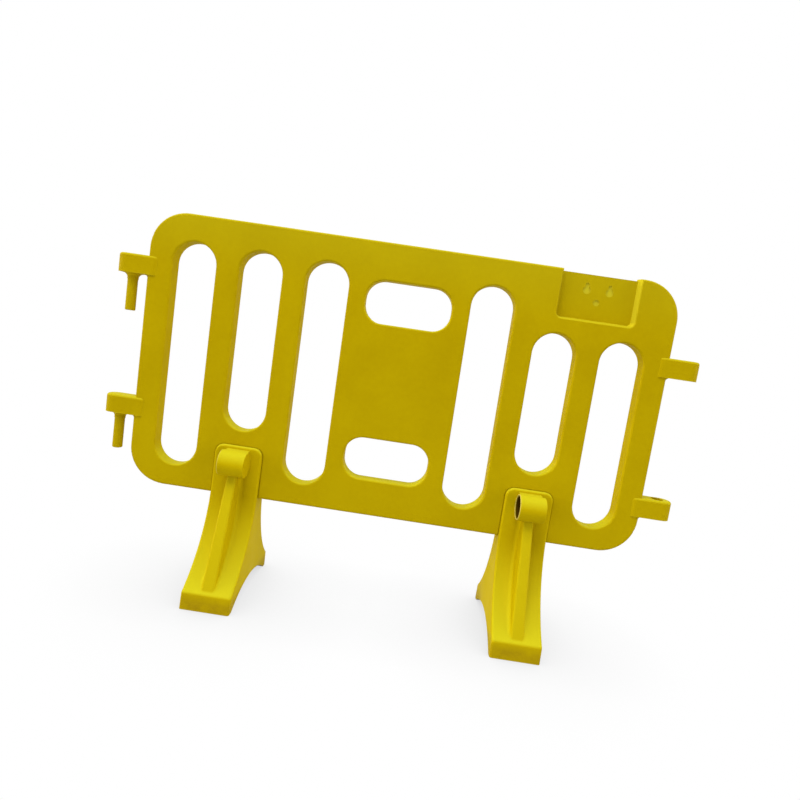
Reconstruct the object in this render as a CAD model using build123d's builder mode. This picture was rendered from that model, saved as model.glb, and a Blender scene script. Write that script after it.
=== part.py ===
from build123d import *
from math import atan2, degrees
import os

os.makedirs("parts", exist_ok=True)

# A moulded plastic safety barrier: one panel with upright slots, hook pins at one end, eyes at the
# other, and two feet that push up into seats in its lower edge.
# Millimetres. X runs along the barrier, -Y is its front, Z is up, and the floor is at Z = 0.

# Panel
panel_length = 1397.0
panel_height = 732.5
panel_thickness = 45.0
panel_corner_radius = 98.0
rim_radius = 6.0
ground_clearance = 267.5

# Upright slots on each side of a plain middle field
slots_a_side = 3
middle_field = 325.0
slot_bar = 61.7
end_bar = 64.6
slot_top_margin = 70.5
slot_bottom_margin = 60.0
slot_edge_radius = 5.0

# Two lying slots in the middle
middle_slot_length = 231.0
middle_slot_height = 113.5
middle_slot_radius = 50.0
middle_slot_margin = 155.5

# Foot seats, sunk into both faces and open below, with a thin web left between them
seat_mouth_width = 133.0
seat_height = 140.0
seat_web = 6.0
seat_wall_lean = 18.0
seat_floor_radius = 8.0
seat_bar = 41.0
catch_width = 60.0
catch_height = 42.0
catch_radius = 12.0
catch_drop = 28.0
catch_bar = 17.0
bevel_width = 1.5
bevel_depth = 1.5

# Lamp seat, sunk into both faces at the top right
lamp_overlap = 29.0
lamp_seat_height = 128.5
lamp_web = 8.0
lamp_wall_lean = 5.5
lamp_floor_radius = 10.0
lamp_bar = 40.5
lamp_web_drop = 5.0
key_spacing = 60.0
key_head = 20.0
key_neck = 10.0
key_length = 35.0
key_rise = 82.5
pilot_diameter = 16.0
pilot_rise = 53.0
mark_depth = 2.5

# Hook arms at the left end, eye arms at the right end
arm_reach = 85.5
arm_pad_length = 34.0
arm_thickness = 51.0
arm_edge_radius = 7.0
arm_pad_radius = 20.0
arm_root_radius = 14.0
arm_web_lap = 1.0
hook_arm_height = 50.0
hook_drop = 123.5
pin_diameter = 26.0
pin_length = 100.0
pin_setback = 38.0
pin_root_land = 0.6
pin_collar_thickness = 1.0
pin_collar_height = 17.0
pin_collar_bevel = 0.6
pin_tip_radius = 3.0
pin_web_thickness = 8.0
pin_web_radius = 14.0
pin_web_lap = 1.0
eye_arm_height = 52.0
eye_rise = 110.0
eye_clearance = 3.0
link_gap = 17.0

# Feet
foot_depth = 336.0
toe_height = 44.0
toe_lean = 3.0
toe_contact = 20.0
toe_edge_radius = 8.0
arch_rise = 44.0
flare_top = 303.0
plate_proud = 8.0
foot_edge_radius = 6.0
seat_side_gap = 2.0
seat_top_gap = 1.0
web_gap = 0.8
root_gap = 0.6
boss_diameter = 68.0
boss_length = 70.0
boss_stand = 31.0
boss_drop = 41.0
boss_edge_radius = 1.8
mouth_diameter = 61.0
mouth_depth = 62.0
mouth_edge_radius = 1.2
rib_top_width = 26.0
rib_toe_width = 34.0
rib_edge_radius = 6.0
rib_root_radius = 10.0
rib_toe_setback = 9.0
rib_bury = 8.0
gusset_flare_radius = 15.0
gusset_setback = 4.0
gusset_lap = 2.0

# How near an edge or corner has to be to a height or a face to be picked for rounding
same_place = 0.001
pick_margin = 1.0

# Heights and places that follow from the sizes above
half_thick = panel_thickness / 2
panel_top = ground_clearance + panel_height
panel_mid = ground_clearance + panel_height / 2
slot_field = (panel_length - middle_field) / 2 - end_bar
slot_width = (slot_field - (slots_a_side - 1) * slot_bar) / slots_a_side
slot_pitch = slot_width + slot_bar
inner_x = (middle_field + slot_width) / 2
seat_x = inner_x + slot_pitch
outer_x = seat_x + slot_pitch
middle_slot_spacing = panel_height - 2 * middle_slot_margin
lamp_x = (seat_x + outer_x) / 2
seat_top = ground_clearance + seat_height
seat_depth = (panel_thickness - seat_web) / 2
seat_angle = degrees(atan2(seat_wall_lean, seat_depth))
seat_bevel_angle = degrees(atan2(bevel_width + seat_wall_lean * bevel_depth / seat_depth, bevel_depth))
seat_corner = seat_floor_radius + seat_wall_lean
lamp_mouth_width = slot_pitch + lamp_overlap
lamp_bottom = panel_top - lamp_seat_height
lamp_depth = (panel_thickness - lamp_web) / 2
lamp_angle = degrees(atan2(lamp_wall_lean, lamp_depth))
lamp_bevel_angle = degrees(atan2(bevel_width + lamp_wall_lean * bevel_depth / lamp_depth, bevel_depth))
lamp_corner = lamp_floor_radius + lamp_wall_lean
arm_end = panel_length / 2 + arm_reach
arm_root = panel_length / 2 - arm_pad_length
pin_x = arm_end - pin_setback
eye_diameter = pin_diameter + 2 * eye_clearance
collar_diameter = pin_diameter + 2 * pin_collar_thickness
hook_z = panel_top - hook_drop - hook_arm_height / 2
eye_z = hook_z - hook_arm_height / 2 - link_gap - eye_arm_height / 2
arm_spacing = eye_z - eye_arm_height / 2 - eye_rise - ground_clearance

# One hook arm about its own middle height: a bar a little thicker than the panel, rounded at both
# ends, with a pin hanging from it
with BuildPart() as hook_arm:
    with BuildSketch(Plane.XY.offset(-hook_arm_height / 2)) as hook_plan:
        with Locations((-(arm_root + arm_end - arm_thickness / 2) / 2, 0)):
            Rectangle(arm_end - arm_thickness / 2 - arm_root, arm_thickness)
        with Locations((-(arm_end - arm_thickness / 2), 0)):
            Circle(arm_thickness / 2)
        fillet(hook_plan.vertices().group_by(Axis.X)[-1], arm_pad_radius)
    extrude(amount=hook_arm_height)
    fillet(hook_arm.faces().sort_by(Axis.Z)[-1].edges(), arm_edge_radius)
    with BuildSketch(Plane.XY.offset(-hook_arm_height / 2 - pin_length)):
        with Locations((-pin_x, 0)):
            Circle(pin_diameter / 2)
    extrude(amount=pin_length)
    fillet(hook_arm.faces().sort_by(Axis.Z)[0].edges(), pin_tip_radius)
    # A collar strengthens the root of the pin, and a thin web widens it along the arm
    with BuildSketch(Plane.XY.offset(-hook_arm_height / 2 - pin_collar_height)):
        with Locations((-pin_x, 0)):
            Circle(collar_diameter / 2)
    extrude(amount=pin_collar_height)
    collar_edges = hook_arm.edges().filter_by(GeomType.CIRCLE).filter_by(
        lambda e: abs(e.radius - collar_diameter / 2) < same_place
    )
    fillet(collar_edges.sort_by(Axis.Z)[-1], (arm_thickness - collar_diameter) / 2 - pin_root_land)
    chamfer(collar_edges.sort_by(Axis.Z)[0], pin_collar_bevel)
    with BuildSketch(Plane.XZ) as pin_web:
        with Locations((-pin_x, -hook_arm_height / 2)):
            Rectangle(collar_diameter + 2 * pin_web_radius, 2 * pin_web_lap)
            Rectangle(collar_diameter - 2 * pin_web_lap, 2 * pin_web_radius + 4 * pin_web_lap)
        web_corners = pin_web.vertices().filter_by(
            lambda v: v.Y < -hook_arm_height / 2 and abs(v.X + pin_x) < collar_diameter / 2
        )
        fillet(web_corners.group_by(Axis.Y)[-1], pin_web_radius)
    extrude(amount=pin_web_thickness / 2, both=True)

# One eye arm about its own middle height: the same bar with an upright bore for a pin
with BuildPart() as eye_arm:
    with BuildSketch(Plane.XY.offset(-eye_arm_height / 2)) as eye_plan:
        with Locations(((arm_root + arm_end - arm_thickness / 2) / 2, 0)):
            Rectangle(arm_end - arm_thickness / 2 - arm_root, arm_thickness)
        with Locations((arm_end - arm_thickness / 2, 0)):
            Circle(arm_thickness / 2)
        fillet(eye_plan.vertices().group_by(Axis.X)[0], arm_pad_radius)
    extrude(amount=eye_arm_height)
    fillet(eye_arm.faces().sort_by(Axis.Z)[-1].edges(), arm_edge_radius)
    with BuildSketch(Plane.XY.offset(-eye_arm_height / 2)):
        with Locations((pin_x, 0)):
            Circle(eye_diameter / 2)
    extrude(amount=eye_arm_height, mode=Mode.SUBTRACT)

# The panel
with BuildPart() as panel:
    with BuildSketch(Plane.XZ):
        with Locations((0, panel_mid)):
            RectangleRounded(panel_length, panel_height, panel_corner_radius)
    extrude(amount=half_thick, both=True)
    fillet(panel.faces().filter_by(Axis.Y).edges(), rim_radius)

    # Slots: those over a foot seat end above it, those under the lamp seat end below it
    slot_low = ground_clearance + slot_bottom_margin
    slot_high = panel_top - slot_top_margin
    over_seat = seat_top + seat_bar
    under_lamp = lamp_bottom - lamp_bar
    slots = [
        (-outer_x, slot_low, slot_high),
        (-seat_x, over_seat, slot_high),
        (-inner_x, slot_low, slot_high),
        (inner_x, slot_low, slot_high),
        (seat_x, over_seat, under_lamp),
        (outer_x, slot_low, under_lamp),
    ]
    with BuildSketch(Plane.XZ):
        for x, low, high in slots:
            with Locations((x, (low + high) / 2)):
                SlotOverall(high - low, slot_width, rotation=90)
        with Locations((0, panel_mid)):
            with GridLocations(1, middle_slot_spacing, 1, 2):
                RectangleRounded(middle_slot_length, middle_slot_height, middle_slot_radius)
    extrude(amount=half_thick, both=True, mode=Mode.SUBTRACT)
    slot_rims = [
        edge
        for face in panel.faces().filter_by(Axis.Y)
        for wire in face.inner_wires()
        for edge in wire.edges()
    ]
    fillet(slot_rims, slot_edge_radius)

    # Foot seats and lamp seat, cut inwards from each face with leaning walls and bevelled mouths
    for face_in in (Plane.back.offset(-half_thick), Plane.XZ.offset(-half_thick)):
        seat_spots = [(-seat_x, ground_clearance), (seat_x, ground_clearance)]
        lamp_spot = (face_in.x_dir.X * lamp_x, panel_top)
        with BuildSketch(face_in):
            with Locations(*seat_spots):
                RectangleRounded(seat_mouth_width, 2 * seat_height, seat_corner)
        extrude(amount=seat_depth, taper=seat_angle, mode=Mode.SUBTRACT)
        with BuildSketch(face_in):
            with Locations(*seat_spots):
                RectangleRounded(
                    seat_mouth_width + 2 * bevel_width,
                    2 * (seat_height + bevel_width),
                    seat_corner + bevel_width,
                )
        extrude(amount=bevel_depth, taper=seat_bevel_angle, mode=Mode.SUBTRACT)
        with BuildSketch(face_in):
            with Locations(lamp_spot):
                RectangleRounded(lamp_mouth_width, 2 * lamp_seat_height, lamp_corner)
        extrude(amount=lamp_depth, taper=lamp_angle, mode=Mode.SUBTRACT)
        with BuildSketch(face_in):
            with Locations(lamp_spot):
                RectangleRounded(
                    lamp_mouth_width + 2 * bevel_width,
                    2 * (lamp_seat_height + bevel_width),
                    lamp_corner + bevel_width,
                )
        extrude(amount=bevel_depth, taper=lamp_bevel_angle, mode=Mode.SUBTRACT)

    # Two catch openings through the web of each foot seat
    catch_upper = seat_top - catch_drop - catch_height / 2
    catch_lower = catch_upper - catch_height - catch_bar
    with BuildSketch(Plane.XZ):
        with Locations(
            (-seat_x, catch_upper),
            (-seat_x, catch_lower),
            (seat_x, catch_upper),
            (seat_x, catch_lower),
        ):
            RectangleRounded(catch_width, catch_height, catch_radius)
    extrude(amount=half_thick, both=True, mode=Mode.SUBTRACT)

    # The lamp seat's web stops short of the panel's top edge
    with BuildSketch(Plane.XZ):
        with Locations((lamp_x, panel_top)):
            Rectangle(lamp_mouth_width - 2 * lamp_wall_lean, 2 * lamp_web_drop)
    extrude(amount=lamp_web / 2, both=True, mode=Mode.SUBTRACT)

    # Shallow keyholes and a pilot mark for a lamp bracket, in the web's front face
    with BuildSketch(Plane.XZ.offset(lamp_web / 2)):
        for x in (lamp_x - key_spacing / 2, lamp_x + key_spacing / 2):
            with Locations((x, lamp_bottom + key_rise)):
                Circle(key_head / 2)
            with Locations((x, lamp_bottom + key_rise + (key_length - key_head) / 2)):
                SlotOverall(key_length - key_head + key_neck, key_neck, rotation=90)
        with Locations((lamp_x, lamp_bottom + pilot_rise)):
            Circle(pilot_diameter / 2)
    extrude(amount=-mark_depth, mode=Mode.SUBTRACT)

    # Arms
    with Locations((0, 0, hook_z), (0, 0, hook_z - arm_spacing)):
        add(hook_arm.part)
    with Locations((0, 0, eye_z), (0, 0, eye_z - arm_spacing)):
        add(eye_arm.part)
    hook_under = hook_z - hook_arm_height / 2
    eye_under = eye_z - eye_arm_height / 2

    # A curved web fills the corner under each arm, as wide as the flat of the panel's end
    web_x = panel_length / 2 - arm_web_lap
    web_spots = [
        (-web_x, -1, hook_under),
        (-web_x, -1, hook_under - arm_spacing),
        (web_x, 1, eye_under),
        (web_x, 1, eye_under - arm_spacing),
    ]
    with BuildSketch(Plane.XZ) as arm_webs:
        for x, side, under in web_spots:
            with Locations((x + side * (arm_root_radius - arm_web_lap) / 2, under + 2 * arm_web_lap)):
                Rectangle(arm_root_radius + 3 * arm_web_lap, 2 * arm_web_lap)
            with Locations((x - side * arm_web_lap, under + (3 * arm_web_lap - arm_root_radius) / 2)):
                Rectangle(2 * arm_web_lap, arm_root_radius + 3 * arm_web_lap)
        arm_corners = arm_webs.vertices().filter_by(
            lambda v: any(
                abs(v.X - x) < same_place and abs(v.Y - under - arm_web_lap) < same_place
                for x, side, under in web_spots
            )
        )
        fillet(arm_corners, arm_root_radius)
    extrude(amount=half_thick - rim_radius, both=True)

# One foot about its own middle: an arched leg with a toe before and behind, and two tines that
# straddle the web of a foot seat
foot_width = seat_mouth_width - 2 * seat_side_gap
foot_top = seat_top - seat_top_gap
root_z = ground_clearance - root_gap
tine_depth = seat_depth - web_gap
tine_low = root_z - 2 * seat_wall_lean
tine_corner = seat_corner - seat_side_gap
plate_y = half_thick + plate_proud
toe_y = foot_depth / 2
arch_y = toe_y - toe_contact
boss_y = -(plate_y + boss_stand)
boss_z = foot_top - boss_drop
boss_low = boss_z - boss_diameter / 2
boss_front = boss_y - boss_diameter / 2
boss_axis = Axis((0, boss_y, boss_z), (1, 0, 0))
mouth_lip = -boss_length / 2
mouth_front = boss_y - mouth_diameter / 2
gusset_width = rib_top_width + 2 * (gusset_flare_radius + gusset_lap)
gusset_low = boss_low + gusset_lap
gusset_top = boss_z + boss_diameter / 2 - gusset_lap

# The rib on the front of a foot, a little wider at the toe, with rounded front edges
with BuildPart() as rib:
    with BuildSketch(Plane.XZ.offset(half_thick)):
        with BuildLine():
            Polyline(
                (-rib_top_width / 2, boss_z),
                (-rib_toe_width / 2, toe_height),
                (rib_toe_width / 2, toe_height),
                (rib_top_width / 2, boss_z),
                close=True,
            )
        make_face()
    extrude(amount=toe_y - half_thick)
    with BuildSketch(Plane.YZ):
        with BuildLine():
            Polyline(
                (rib_toe_setback - toe_y, toe_height),
                (boss_y + rib_bury, boss_z),
                (-half_thick, boss_z),
                (-half_thick, toe_height),
                close=True,
            )
        make_face()
    extrude(amount=foot_width, both=True, mode=Mode.INTERSECT)
    rib_edges = rib.edges().filter_by(
        lambda e: toe_height + pick_margin < e.center().Z < boss_z - pick_margin and e.center().Y < -plate_y
    )
    fillet(rib_edges, rib_edge_radius)

# The gusset that carries the boss on the plate and runs down into the rib in hollow curves
with BuildPart() as gusset:
    with BuildSketch(Plane.XZ.offset(half_thick)) as gusset_front:
        with Locations((0, (gusset_low + gusset_top) / 2)):
            Rectangle(gusset_width, gusset_top - gusset_low)
        with Locations((0, gusset_low - gusset_flare_radius)):
            Rectangle(rib_top_width - gusset_lap, 2 * gusset_flare_radius + 2 * gusset_lap)
        flare_corners = gusset_front.vertices().filter_by(
            lambda v: abs(v.Y - gusset_low) < same_place and abs(v.X) < rib_top_width / 2
        )
        fillet(flare_corners, gusset_flare_radius)
    extrude(amount=-half_thick - boss_y - gusset_setback)

# The filling boss: a cylinder across the foot with rounded ends, turned about its own middle line
with BuildPart() as boss:
    with BuildSketch(Plane.XY.offset(boss_z)) as boss_half:
        with BuildLine():
            Polyline(
                (-boss_length / 2, boss_y),
                (-boss_length / 2, boss_front),
                (boss_length / 2, boss_front),
                (boss_length / 2, boss_y),
                close=True,
            )
        make_face()
        fillet(boss_half.vertices().group_by(Axis.Y)[0], boss_edge_radius)
    revolve(axis=boss_axis)

with BuildPart() as foot:
    with BuildSketch(Plane.XY):
        Rectangle(foot_width, foot_depth)
    extrude(amount=root_z)
    for face_in in (Plane.back.offset(-half_thick), Plane.XZ.offset(-half_thick)):
        with BuildSketch(face_in):
            with Locations((0, (tine_low + foot_top) / 2)):
                RectangleRounded(foot_width, foot_top - tine_low, tine_corner)
        extrude(amount=tine_depth, taper=seat_angle)
    for face_out in (Plane.XZ.offset(half_thick), Plane.back.offset(half_thick)):
        with BuildSketch(face_out):
            with Locations((0, (tine_low + foot_top) / 2)):
                RectangleRounded(foot_width, foot_top - tine_low, tine_corner)
        extrude(amount=toe_y - half_thick)

    # Side view: toes, hollow curves up to the plates, and the arch underneath
    with BuildSketch(Plane.YZ):
        with BuildLine():
            Line((arch_y, 0), (toe_y, 0))
            Line((toe_y, 0), (toe_y - toe_lean, toe_height))
            TangentArc((plate_y, flare_top), (toe_y - toe_lean, toe_height), tangent=(0, -1))
            Line((plate_y, flare_top), (plate_y, foot_top))
            Line((plate_y, foot_top), (-plate_y, foot_top))
            Line((-plate_y, foot_top), (-plate_y, flare_top))
            TangentArc((-plate_y, flare_top), (toe_lean - toe_y, toe_height), tangent=(0, -1))
            Line((toe_lean - toe_y, toe_height), (-toe_y, 0))
            Line((-toe_y, 0), (-arch_y, 0))
            ThreePointArc((-arch_y, 0), (0, arch_rise), (arch_y, 0))
        make_face()
    extrude(amount=foot_width, both=True, mode=Mode.INTERSECT)

    # Rounded toes and a rounded outline to both faces
    toe_tops = foot.edges().filter_by(Axis.X).filter_by(
        lambda e: abs(e.center().Z - toe_height) < same_place
    )
    fillet(toe_tops, toe_edge_radius)
    outline = foot.edges().filter_by(
        lambda e: e.center().Z > pick_margin
        and abs(e.center().Y) > plate_y - pick_margin
        and (abs(e.center().X) > foot_width / 2 - pick_margin or e.center().Z > flare_top + pick_margin)
    )
    fillet(outline, foot_edge_radius)

    # Rib, gusset and filling boss on the front, with the mouth at the left end of the boss
    add(rib.part)
    rib_roots = foot.edges().filter_by(GeomType.ELLIPSE).filter_by(
        lambda e: e.center().Y < -half_thick and e.length > flare_top / 2
    )
    fillet(rib_roots, rib_root_radius)
    add(gusset.part)
    add(boss.part)
    with BuildSketch(Plane.XY.offset(boss_z)):
        with BuildLine():
            Polyline(
                (mouth_lip - mouth_edge_radius, mouth_front - mouth_edge_radius),
                (mouth_lip - mouth_edge_radius, boss_y),
                (mouth_lip + mouth_depth, boss_y),
                (mouth_lip + mouth_depth, mouth_front),
                (mouth_lip + mouth_edge_radius, mouth_front),
            )
            TangentArc(
                (mouth_lip + mouth_edge_radius, mouth_front),
                (mouth_lip, mouth_front - mouth_edge_radius),
                tangent=(-1, 0),
            )
            Line(
                (mouth_lip, mouth_front - mouth_edge_radius),
                (mouth_lip - mouth_edge_radius, mouth_front - mouth_edge_radius),
            )
        make_face()
    revolve(axis=boss_axis, mode=Mode.SUBTRACT)

with BuildPart() as left_foot:
    with Locations((-seat_x, 0, 0)):
        add(foot.part)

with BuildPart() as right_foot:
    with Locations((seat_x, 0, 0)):
        add(foot.part)

panel.part.label = "panel"
left_foot.part.label = "left_foot"
right_foot.part.label = "right_foot"

export_step(panel.part, "parts/panel.step")
export_step(left_foot.part, "parts/left_foot.step")
export_step(right_foot.part, "parts/right_foot.step")
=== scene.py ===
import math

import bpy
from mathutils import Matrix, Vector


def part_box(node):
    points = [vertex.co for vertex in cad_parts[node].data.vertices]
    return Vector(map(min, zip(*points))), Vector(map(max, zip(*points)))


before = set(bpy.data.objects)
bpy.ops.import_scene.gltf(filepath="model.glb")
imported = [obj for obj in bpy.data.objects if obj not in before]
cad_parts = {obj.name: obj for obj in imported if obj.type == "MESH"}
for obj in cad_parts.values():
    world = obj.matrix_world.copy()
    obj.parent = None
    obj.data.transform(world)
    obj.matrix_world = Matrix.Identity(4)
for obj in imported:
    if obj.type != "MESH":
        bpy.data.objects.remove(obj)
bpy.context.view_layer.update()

# %% [markdown]
# A plastic safety barrier, dressed in Blender
#
# The barrier is three plastic mouldings: a slotted panel, and two arched feet that push up into
# seats in its lower edge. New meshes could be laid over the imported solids, but these have the right
# shape already, rounded edges and all. So this lesson is about what an eye sees on them: a dull
# yellow plastic with its grain, its seam and its rubbed edges, the soft light of a plain studio, and
# a pale floor.

bpy.ops.object.select_all(action="DESELECT")
scene = bpy.context.scene
mm_in_a_metre = 1000


def rounded(point, digits=4):
    return tuple(round(value, digits) for value in point)


print("nodes", sorted(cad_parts))

# %% [markdown]
# Small helpers for shader nodes
#
# A material made of nodes is a sum written as a picture. Each helper below adds a node or two and
# gives back what comes out, so that a material reads as a few short lines. An input may be a plain
# number, a colour or what another node gives, and the first helper takes care of all three. A mask
# is a number from 0 to 1 that says how much of a finish shows at a point.


# %% One helper that sets or links an input
def feed(tree, socket, value):
    if isinstance(value, bpy.types.NodeSocket):
        tree.links.new(value, socket)
    else:
        socket.default_value = value


# %% Helpers for numbers and masks
def calculate(tree, operation, *values):
    node = tree.nodes.new("ShaderNodeMath")
    node.operation = operation
    for socket, value in zip(node.inputs, values):
        feed(tree, socket, value)
    return node.outputs["Value"]


def spread(tree, value, low, high, to_low=0.0, to_high=1.0):
    node = tree.nodes.new("ShaderNodeMapRange")
    limits = {"From Min": low, "From Max": high, "To Min": to_low, "To Max": to_high}
    for name, number in limits.items():
        node.inputs[name].default_value = number
    feed(tree, node.inputs["Value"], value)
    return node.outputs["Result"]


def both(tree, first, second):
    return calculate(tree, "MULTIPLY", first, second)


def inside(tree, value, low, high):
    above = calculate(tree, "GREATER_THAN", value, low)
    return both(tree, above, calculate(tree, "LESS_THAN", value, high))


# %% Helpers for places and directions
def split(tree, vector):
    node = tree.nodes.new("ShaderNodeSeparateXYZ")
    feed(tree, node.inputs["Vector"], vector)
    return node.outputs


def facing(tree):
    return tree.nodes.new("ShaderNodeNewGeometry").outputs["Normal"]


# %% Helpers for colours
def colour_sockets(sockets):
    return [socket for socket in sockets if socket.type == "RGBA"]


def tint(tree, share, first, second):
    node = tree.nodes.new("ShaderNodeMix")
    node.data_type = "RGBA"
    feed(tree, node.inputs["Factor"], share)
    for socket, colour in zip(colour_sockets(node.inputs), (first, second)):
        feed(tree, socket, colour)
    return colour_sockets(node.outputs)[0]


# %% Helpers for patterns
def noise(tree, coordinates, scale, detail, roughness=0.5):
    node = tree.nodes.new("ShaderNodeTexNoise")
    feed(tree, node.inputs["Vector"], coordinates)
    for name, number in {"Scale": scale, "Detail": detail, "Roughness": roughness}.items():
        node.inputs[name].default_value = number
    return node.outputs["Fac"]


def mottle(tree, coordinates, pattern):
    grey = noise(tree, coordinates, pattern["scale"], pattern["detail"], pattern["roughness"])
    return spread(tree, grey, *pattern["clip"], *pattern["gives"])


print("helpers ready")

# %% [markdown]
# The yellow of the moulding
#
# Such barriers are moulded from polyethylene that is coloured right through, so the colour has no
# paint edge and no chips. It is never quite even: the pigment gathers in soft clouds a hand long
# and in specks less than a centimetre wide. As painted light, the lower half is painted a little
# warmer and brighter, and the top and all faces that look at the sky are painted paler and more
# lemon. The feet are moulded apart from the panel, and their batch of plastic came out a little
# paler, so they have tones of their own.
#
# A painted picture could carry all this, but masks made from the moulding's own coordinates need no
# unwrapping and hold at any distance. Each pattern is a noise. Its scale is how many blotches go into
# a metre, and its detail and roughness say how ragged they are. Clip is the part of its range that is
# stretched, and gives is what that part is stretched to.

# %% Tones of the plastic
panel_tones = {
    "deep": (0.440, 0.308, 0.0004, 1),
    "warm": (0.505, 0.366, 0.0008, 1),
    # this pale lemon tone is painted light on faces that look up and near the top
    "sky_lit": (0.510, 0.445, 0.009, 1),
    # this pale tone is real wear on edges, and painted light on edges and on the lamp seat's right wall
    "worn_and_lit": (0.570, 0.470, 0.012, 1),
}
foot_tones = {
    "deep": (0.486, 0.345, 0.0004, 1),
    "warm": (0.558, 0.410, 0.0008, 1),
    "sky_lit": (0.565, 0.508, 0.011, 1),
    "worn_and_lit": (0.610, 0.510, 0.012, 1),
}
print("tones", ", ".join(panel_tones))

# %% Patterns in the pigment
clouds = {"scale": 6.0, "detail": 4.0, "roughness": 0.5, "clip": (0.32, 0.68), "gives": (0.0, 0.75)}
specks = {"scale": 110.0, "detail": 3.0, "roughness": 0.6, "clip": (0.35, 0.65), "gives": (0.0, 0.25)}
for name, pattern in {"clouds": clouds, "specks": specks}.items():
    print(name, "about", round(mm_in_a_metre / pattern["scale"]), "mm wide")

# %% Where painted light makes the plastic warmer low down and paler on top
lit_low_from_height = 0.60
lit_low_full_height = 0.25
lit_low_share = 0.40
sky_light_from_height = 0.86
sky_light_full_height = 0.98
sky_light_top_share = 0.26
skyward_from = 0.10
skyward_full = 0.80
skyward_light_share = 0.9
print("warm below", lit_low_from_height, "m, bleached above", sky_light_from_height, "m")


# %% Clouds, specks, and painted light on the lower half and on the upper faces
def pigment(tree, coordinates, height, tones):
    # painted light: the lower half is painted warmer and brighter
    low_down = spread(tree, height, lit_low_from_height, lit_low_full_height, to_high=lit_low_share)
    uneven = calculate(tree, "ADD", mottle(tree, coordinates, clouds), mottle(tree, coordinates, specks))
    warmth = calculate(tree, "ADD", low_down, uneven)
    colour = tint(tree, warmth, tones["deep"], tones["warm"])
    # painted light: faces that look up, and the top band, are painted paler and more lemon
    skyward = spread(tree, split(tree, facing(tree))["Z"], skyward_from, skyward_full)
    near_top = spread(tree, height, sky_light_from_height, sky_light_full_height, to_high=sky_light_top_share)
    painted_sky_light = calculate(tree, "MAXIMUM", near_top, calculate(tree, "MULTIPLY", skyward, skyward_light_share))
    return tint(tree, painted_sky_light, colour, tones["sky_lit"])


# %% [markdown]
# Rubbed edges, and painted highlight on edges
#
# Edges that are carried, stacked and dragged are rubbed pale, and the same pale tone also stands as
# a painted highlight where rounded edges catch the light. They could be marked by hand, one
# after the other, but the Bevel node finds them all. It looks a few millimetres around a point and
# gives the normal of a rounded edge there. On a flat it agrees with the real normal, and along an
# edge the two part, so their dot product falls below 1. A noise breaks the line up, because no edge
# wears evenly.

# %% How far an edge is rubbed
rub_reach = 0.005
rub_samples = 6
likeness_on_flat = 0.995
likeness_on_edge = 0.90
rubs = {"scale": 24.0, "detail": 5.0, "roughness": 0.65, "clip": (0.38, 0.62), "gives": (0.25, 1.0)}
print("edges are rubbed", round(mm_in_a_metre * rub_reach), "mm to each side")


# %% A mask that finds the edges
def edge_wear_and_highlight(tree, coordinates):
    softened = tree.nodes.new("ShaderNodeBevel")
    softened.samples = rub_samples
    softened.inputs["Radius"].default_value = rub_reach
    likeness = tree.nodes.new("ShaderNodeVectorMath")
    likeness.operation = "DOT_PRODUCT"
    for socket, normal in zip(likeness.inputs, (softened.outputs["Normal"], facing(tree))):
        feed(tree, socket, normal)
    edges = spread(tree, likeness.outputs["Value"], likeness_on_flat, likeness_on_edge)
    return both(tree, edges, mottle(tree, coordinates, rubs))


# %% [markdown]
# Grain, waves and the seam
#
# The mould's wall is blasted, which leaves an orange-peel grain about 2 mm wide. As the thick wall
# cools it draws in a little, so the flats carry long waves a fraction of a millimetre deep. The
# two halves of the mould meet in the middle of the thickness, and there the plastic keeps a fine
# raised seam. All three could be cut into the mesh. They are bump instead, one laid on the other,
# because they are far too shallow to change the outline.

# %% Sizes of the grain, the waves and the seam
peel = {"scale": 420.0, "detail": 2.0, "strength": 0.10, "depth": 0.0005}
waves = {"scale": 9.0, "detail": 1.0, "strength": 0.10, "depth": 0.004}
seam = {"half_width": 0.0009, "strength": 0.35, "depth": 0.0006}
for name, relief in {"grain": peel, "waves": waves}.items():
    print(name, round(mm_in_a_metre / relief["scale"], 1), "mm wide")


# %% One bump that carries all three
def emboss(tree, height, relief, below=None):
    node = tree.nodes.new("ShaderNodeBump")
    node.inputs["Strength"].default_value = relief["strength"]
    node.inputs["Distance"].default_value = relief["depth"]
    feed(tree, node.inputs["Height"], height)
    if below is not None:
        feed(tree, node.inputs["Normal"], below)
    return node.outputs["Normal"]


def moulded_skin(tree, coordinates, across):
    normal = None
    for relief in (peel, waves):
        height = noise(tree, coordinates, relief["scale"], relief["detail"])
        normal = emboss(tree, height, relief, normal)
    from_seam = calculate(tree, "ABSOLUTE", across)
    ridge = spread(tree, from_seam, 0.0, seam["half_width"], to_low=1.0, to_high=0.0)
    return emboss(tree, ridge, seam, normal)


# %% [markdown]
# Putting a moulded material together
#
# The panel and the feet are one kind of plastic with different tones and marks. They could be two
# materials written out in full, but one function builds what they share and is given the tones and
# the marks. Object coordinates keep every pattern fixed to the moulding when a foot slides. What is
# the same all over, such as the strength of the shine, is set straight on the shader. A haze varies
# the roughness, and rubbed edges are a little smoother.

# %% The shine of the plastic
shine_ior = 1.5
shine_level = 0.008
haze = {"scale": 14.0, "detail": 5.0, "roughness": 0.6, "clip": (0.3, 0.7), "gives": (0.40, 0.54)}
wear_and_highlight_share = 0.55
rub_smoothing = -0.08
print("roughness between", haze["gives"][0], "and", haze["gives"][1])


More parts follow.
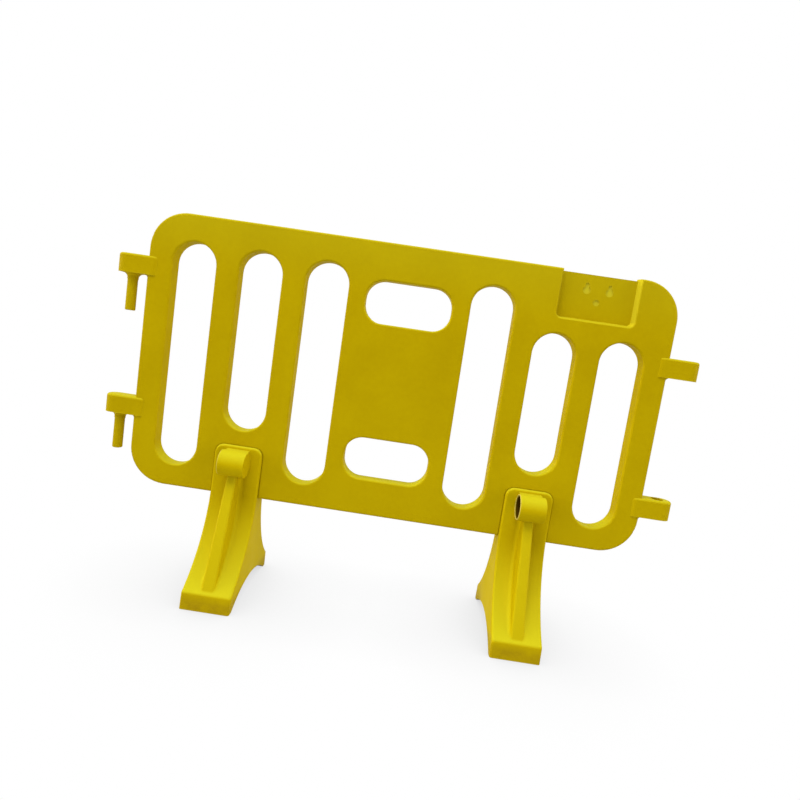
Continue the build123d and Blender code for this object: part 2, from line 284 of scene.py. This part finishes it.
# %% The plastic that all three mouldings share
def moulded_plastic(name, tones, mark):
    material = bpy.data.materials.new(name)
    material.use_nodes = True
    tree = material.node_tree
    shader = tree.nodes["Principled BSDF"]
    shader.inputs["IOR"].default_value = shine_ior
    shader.inputs["Specular IOR Level"].default_value = shine_level
    coordinates = tree.nodes.new("ShaderNodeTexCoord").outputs["Object"]
    place = split(tree, coordinates)

    worn_and_highlit = edge_wear_and_highlight(tree, coordinates)
    colour = pigment(tree, coordinates, place["Z"], tones)
    # real wear and painted highlight on edges share this pale tone
    colour = tint(tree, calculate(tree, "MULTIPLY", worn_and_highlit, wear_and_highlight_share), colour, tones["worn_and_lit"])
    feed(tree, shader.inputs["Base Color"], mark(tree, coordinates, place, colour))

    dull = calculate(tree, "MULTIPLY_ADD", worn_and_highlit, rub_smoothing, mottle(tree, coordinates, haze))
    feed(tree, shader.inputs["Roughness"], dull)
    feed(tree, shader.inputs["Normal"], moulded_skin(tree, coordinates, place["Y"]))
    print("material", name, "has", len(tree.nodes), "nodes")
    return material


# %% [markdown]
# Marks of the panel
#
# In the lamp seat at the top right there are two keyholes and a pilot mark, moulded a few
# millimetres deep. Their floors are painted paler than the rest, as painted light. The seat's right
# wall is painted paler too, as painted light from the left. Such faces could have materials of their
# own, but the mesh of a imported solid stays as it is, so masks find them by their place. The
# keyholes' floors are the only faces in that seat that lie so near the middle of the thickness. The
# wall is the only face there that looks to the left, so the normal helps to pick it out.

# %% Places in the lamp seat
panel_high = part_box("panel")[1]
panel_end = panel_high[0]
panel_top = panel_high[2]
keyholes_right = panel_end - 0.25
keyholes_left = keyholes_right - 0.10
keyholes_low = panel_top - 0.10
keyholes_high = panel_top - 0.02
keyhole_floor_from_middle = 0.0022
wall_left = panel_end - 0.205
wall_right = panel_end - 0.190
wall_low = panel_top - 0.130
leftward_from = -0.5
leftward_full = -0.9
print("keyholes between", round(keyholes_left, 3), "and", round(keyholes_right, 3), "m along")

# %% The panel's plastic
keyhole_painted_light = (0.61, 0.52, 0.019, 1)


def panel_marks(tree, coordinates, place, colour):
    # painted light: the keyholes' floors are painted paler
    from_middle = calculate(tree, "ABSOLUTE", place["Y"])
    deep = calculate(tree, "LESS_THAN", from_middle, keyhole_floor_from_middle)
    along = inside(tree, place["X"], keyholes_left, keyholes_right)
    tall = inside(tree, place["Z"], keyholes_low, keyholes_high)
    colour = tint(tree, both(tree, deep, both(tree, along, tall)), colour, keyhole_painted_light)

    # painted light: the seat's right wall, which looks to the left, gets the pale tone
    leftward = spread(tree, split(tree, facing(tree))["X"], leftward_from, leftward_full)
    in_seat = calculate(tree, "GREATER_THAN", place["Z"], wall_low)
    painted_light_wall = both(tree, in_seat, inside(tree, place["X"], wall_left, wall_right))
    return tint(tree, both(tree, leftward, painted_light_wall), colour, panel_tones["worn_and_lit"])


panel_yellow = moulded_plastic("panel_yellow", panel_tones, panel_marks)

# %% [markdown]
# Marks of a foot
#
# A foot's lowest few centimetres are made darker and warmer, in patches. The filling mouth opens
# into the hollow of the foot, where no light comes back, so all behind its thin lip is painted
# dark as shade.
# The lip itself is painted paler, as a painted highlight.
# Each foot could have a material of its own, but one serves both: the middle of a foot is found from
# the sign of X, and the mouth is a cylinder around an axis that runs along X.

# %% Places on a foot
foot_low, foot_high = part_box("right_foot")
foot_middle = (foot_low[0] + foot_high[0]) / 2
mouth_radius = 0.031
mouth_height = foot_high[2] - 0.041
mouth_forward = -0.0615
mouth_start = -0.0345
mouth_fade = 0.003
mouth_end = 0.029
lip_radius = 0.0345
lip_depth = 0.0011
print("filling mouth", round(mouth_height, 3), "m up, a foot's middle", round(foot_middle, 3), "m out")

# %% Darker and warmer towards the ground
low_darker_tone = (0.30, 0.185, 0.006, 1)
darkening_full_height = 0.022
darkening_end_height = 0.046
darkening_share = 0.58
low_patches = {"scale": 38.0, "detail": 6.0, "roughness": 0.65, "clip": (0.34, 0.62), "gives": (0.55, 1.0)}


def darker_toward_ground(tree, coordinates, height, colour):
    # darker and warmer towards the ground, in patches
    low_down = spread(tree, height, darkening_full_height, darkening_end_height, to_low=darkening_share, to_high=0.0)
    return tint(tree, both(tree, low_down, mottle(tree, coordinates, low_patches)), colour, low_darker_tone)


print("dust up to", round(mm_in_a_metre * darkening_end_height), "mm")

# %% The filling mouth and its lip
lip_highlight = (0.63, 0.49, 0.085, 1)
unlit_hollow = (0.078, 0.040, 0.0011, 1)


def filling_mouth(tree, place, colour):
    middle = calculate(tree, "MULTIPLY", calculate(tree, "SIGN", place["X"]), foot_middle)
    along = calculate(tree, "SUBTRACT", place["X"], middle)
    forward = calculate(tree, "SUBTRACT", place["Y"], mouth_forward)
    upward = calculate(tree, "SUBTRACT", place["Z"], mouth_height)
    upward_squared = calculate(tree, "MULTIPLY", upward, upward)
    reach = calculate(tree, "SQRT", calculate(tree, "MULTIPLY_ADD", forward, forward, upward_squared))

    # painted highlight: the lip around the mouth is painted paler
    at_end = inside(tree, along, mouth_start - lip_depth, mouth_start + lip_depth)
    in_lip = calculate(tree, "LESS_THAN", reach, lip_radius)
    colour = tint(tree, both(tree, in_lip, at_end), colour, lip_highlight)

    in_mouth = calculate(tree, "LESS_THAN", reach, mouth_radius)
    shade = both(tree, in_mouth, spread(tree, along, mouth_start, mouth_start + mouth_fade))
    before_end = calculate(tree, "LESS_THAN", along, mouth_end)
    return tint(tree, both(tree, shade, before_end), colour, unlit_hollow)


# %% The plastic of the feet
def foot_marks(tree, coordinates, place, colour):
    return filling_mouth(tree, place, darker_toward_ground(tree, coordinates, place["Z"], colour))


foot_yellow = moulded_plastic("foot_yellow", foot_tones, foot_marks)

# %% Each moulding gets its plastic
for name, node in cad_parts.items():
    node.data.materials.clear()
    node.data.materials.append(panel_yellow if name == "panel" else foot_yellow)
    print(name, "wears", node.data.materials[0].name)

# %% [markdown]
# The floor
#
# The barrier stands on a white floor in a white room, and only the soft shadow under it tells where
# the floor is. A plain white plane could stand for that floor, but its white would change from place
# to place with the lamp. So the floor is made as that shadow and nothing else: the camera looks
# through it, and an Ambient Occlusion node dims the white where the barrier stands close above. For
# the light that bounces about, the floor is an ordinary pale one. Seen from below it is clear, so
# that a foot drawn down past it still shows.

# %% A floor that shows only a soft shadow
floor_size = 14
floor_drop = 0.0005
floor_grey = (0.56, 0.56, 0.56, 1)
shadow_reach = 0.38
shadow_depth = 0.34
shadow_samples = 24
bpy.ops.mesh.primitive_plane_add(size=floor_size, location=(0, 0, -floor_drop))
floor = bpy.context.active_object
floor.name = "floor"
pale_floor = bpy.data.materials.new("pale_floor")
pale_floor.use_nodes = True
ground = pale_floor.node_tree
ground.nodes.remove(ground.nodes["Principled BSDF"])
print("floor", tuple(floor.dimensions))


# %% A choice between two shaders, and a mask for what the camera or a mirror looks at
def either(tree, share, first, second):
    node = tree.nodes.new("ShaderNodeMixShader")
    for socket, value in zip(node.inputs, (share, first, second)):
        feed(tree, socket, value)
    return node.outputs["Shader"]


def looking(tree):
    rays = tree.nodes.new("ShaderNodeLightPath").outputs
    mirrored = calculate(tree, "MAXIMUM", rays["Is Glossy Ray"], rays["Is Transmission Ray"])
    return calculate(tree, "MAXIMUM", rays["Is Camera Ray"], mirrored)


# %% What the camera sees of the floor, and what the light meets
closeness = ground.nodes.new("ShaderNodeAmbientOcclusion")
closeness.samples = shadow_samples
closeness.inputs["Distance"].default_value = shadow_reach
shadow = ground.nodes.new("ShaderNodeBsdfTransparent")
white = spread(ground, closeness.outputs["AO"], 0.0, 1.0, to_low=1.0 - shadow_depth)
feed(ground, shadow.inputs["Color"], white)
bounce = ground.nodes.new("ShaderNodeBsdfDiffuse")
bounce.inputs["Color"].default_value = floor_grey
clear = ground.nodes.new("ShaderNodeBsdfTransparent")
below = ground.nodes.new("ShaderNodeNewGeometry").outputs["Backfacing"]
from_above = either(ground, looking(ground), bounce.outputs["BSDF"], shadow.outputs["BSDF"])
surface = either(ground, below, from_above, clear.outputs["BSDF"])
feed(ground, ground.nodes["Material Output"].inputs["Surface"], surface)
floor.data.materials.append(pale_floor)
print("pale floor has", len(ground.nodes), "nodes")

# %% [markdown]
# The light
#
# The barrier is lit as in a plain studio. Several lamps could be set around it, but one broad lamp
# and a room that is lighter on some sides give the same soft light. The lamp stands high in front and
# a little to the left. It is wide, so shadows are soft, and it is far off, so the feet get nearly as
# much of it as the top edge. It makes upper faces about half as bright again as the front. The room
# fills in the rest. It is lighter overhead than at eye level, and lighter behind the barrier than
# before it, so that the back is not left in the shade. It is lightest at both ends, and more so at
# the left, as if a broad white screen stood at each end of the barrier, so that the walls inside the
# slots are not much darker than the face. The camera, and anything that mirrors, sees plain white
# behind the barrier.

# %% How light the room is in each direction
eye_level_light = 0.10
overhead_light = 0.24
screen_light = 4.0
screen_sharpness = 4.0
left_light = 0.30
behind_light = 0.35
world = bpy.data.worlds.new("white_room")
scene.world = world
world.use_nodes = True
sky = world.node_tree
direction = split(sky, sky.nodes.new("ShaderNodeTexCoord").outputs["Generated"])
strength = spread(sky, direction["Z"], 0.0, 1.0, eye_level_light, overhead_light)
endward = calculate(sky, "POWER", calculate(sky, "ABSOLUTE", direction["X"]), screen_sharpness)
screens = calculate(sky, "MULTIPLY", endward, screen_light)
left_more = calculate(sky, "MULTIPLY", direction["X"], -left_light)
behind = calculate(sky, "MULTIPLY", calculate(sky, "MAXIMUM", direction["Y"], 0.0), behind_light)
for more in (screens, left_more, behind):
    strength = calculate(sky, "ADD", strength, more)
print("room from", eye_level_light, "at eye level to", overhead_light, "overhead")

# %% The room that lights, and the white that is seen
plain_white = (1, 1, 1, 1)
white_strength = 1.0
room = sky.nodes["Background"]
feed(sky, room.inputs["Color"], plain_white)
feed(sky, room.inputs["Strength"], strength)
seen = sky.nodes.new("ShaderNodeBackground")
feed(sky, seen.inputs["Color"], plain_white)
feed(sky, seen.inputs["Strength"], white_strength)
around = either(sky, looking(sky), room.outputs["Background"], seen.outputs["Background"])
feed(sky, sky.nodes["World Output"].inputs["Surface"], around)
print("room has", len(sky.nodes), "nodes")

# %% The broad lamp
lamp_place = (-0.70, -2.40, 7.04)
lamp_width = 4.4
lamp_power = 400.0
lamp_target = Vector((0, 0, 0.5))
bpy.ops.object.light_add(type="AREA", location=lamp_place)
lamp = bpy.context.active_object
lamp.name = "broad_lamp"
lamp.data.shape = "DISK"
lamp.data.size = lamp_width
lamp.data.energy = lamp_power
aim = lamp_target - lamp.location
lamp.rotation_euler = aim.to_track_quat("-Z", "Y").to_euler()
print("lamp", lamp.data.energy, "W,", round(aim.length, 2), "m away")

# %% [markdown]
# The camera
#
# The photograph was taken close to the panel and a little above its middle, with a wide lens, and
# the barrier lies a little turned in the frame. The camera could be placed by eye, but straight edges
# tell more: it stands where the panel's edges and slots say that it stood, and it is rolled by the
# same angle.

# %% Where the camera stands, and which way it looks
eye = Vector((0.0374, -1.4850, 0.7517))
yaw = math.radians(-0.902)
pitch = math.radians(6.086)
roll = math.radians(8.444)
ahead = Vector((math.sin(yaw) * math.cos(pitch), math.cos(yaw) * math.cos(pitch), -math.sin(pitch)))
level = Vector((math.cos(yaw), -math.sin(yaw), 0))
above = level.cross(ahead)
right = math.cos(roll) * level + math.sin(roll) * above
up = math.cos(roll) * above - math.sin(roll) * level
print("the camera looks along", rounded(ahead))

# %% The camera and its lens
picture_width = 800.0
lens_in_pixels = 550.0
sensor_width = 36.0
bpy.ops.object.camera_add()
camera = bpy.context.active_object
camera.name = "camera"
camera.matrix_world = Matrix.Translation(eye) @ Matrix((right, up, -ahead)).transposed().to_4x4()
camera.data.sensor_width = sensor_width
camera.data.lens = lens_in_pixels / picture_width * sensor_width
camera.data.dof.use_dof = False
scene.camera = camera
scene.view_settings.view_transform = "Standard"
print("camera", rounded(camera.location), "lens", camera.data.lens)
